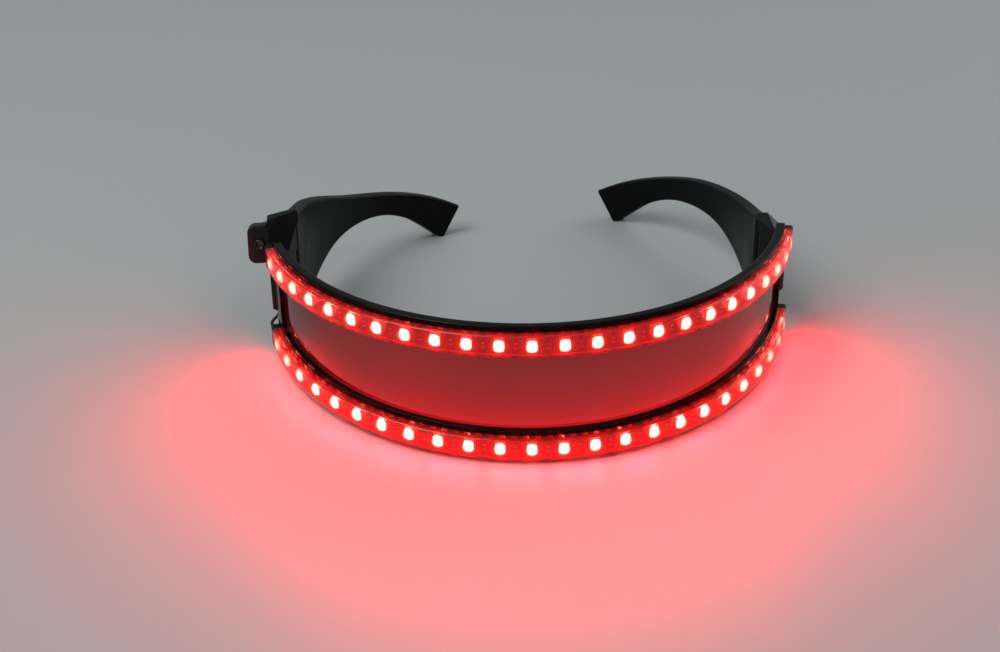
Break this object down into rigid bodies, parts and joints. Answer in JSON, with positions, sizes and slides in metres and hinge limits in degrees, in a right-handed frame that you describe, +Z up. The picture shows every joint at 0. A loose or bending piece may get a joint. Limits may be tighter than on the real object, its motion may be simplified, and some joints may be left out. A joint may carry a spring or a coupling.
{
  "type": "light up party glasses",
  "caption": "Curved see-through visor glasses with a lit strip along the top and bottom edge, a push-button control box and folding temples.",
  "frame": {"origin": "middle of the flat underside of the front frame, where the glasses stand", "axes": "+X to the wearer's left, +Y from the visor back to the temple tips, +Z up"},
  "size_m": [0.1531, 0.1409, 0.0425],
  "materials": {
    "frame": "black, soft gloss",
    "temple": "black, satin",
    "lens": "smoked, clear gloss",
    "sleeve": "clear, glossy",
    "plug": "black, satin",
    "strip_board": "black film",
    "led": "lit red, warm white core",
    "resistor": "matte",
    "lead": "satin",
    "pin": "bright",
    "box": "black, satin",
    "button": "black, gloss",
    "switch": "matte",
    "circuit_board": "green mask",
    "socket": "plated",
    "cell": "foil pouch"
  },
  "bodies": {
    "visor": {"front_frame": "frame", "lens": "lens", "upper_sleeve": "sleeve", "lower_sleeve": "sleeve", "upper_end_plugs": "plug", "lower_end_plugs": "plug", "upper_strip_board": "strip_board", "lower_strip_board": "strip_board", "upper_leds": "led", "lower_leds": "led", "upper_resistors": "resistor", "lower_resistors": "resistor", "upper_lead": "lead", "lower_lead": "lead", "left_hinge_pin": "pin", "right_hinge_pin": "pin", "control_case": "box", "control_cover": "box", "push_switch": "switch", "control_board": "circuit_board", "charge_socket": "socket", "battery_cell": "cell", "battery_leads": "lead"},
    "left_arm": {"left_temple": "temple"},
    "right_arm": {"right_temple": "temple"},
    "button": {"power_button": "button"}
  },
  "joints": [
    {"name": "left_fold", "type": "hinge", "parent": "visor", "child": "left_arm", "pos_m": [0.06721, 0.06322, 0.0256], "axis": [0, 0, 1], "range_deg": [0, 100]},
    {"name": "right_fold", "type": "hinge", "parent": "visor", "child": "right_arm", "pos_m": [-0.06721, 0.06322, 0.0256], "axis": [0, 0, -1], "range_deg": [-9, 91]},
    {"name": "button_press", "type": "slide", "parent": "visor", "child": "button", "axis": [0, 0.9636, -0.2672], "range_m": [0, 0.0005], "stiffness_N_per_m": 3000, "springref_m": -0.0002}
  ]
}
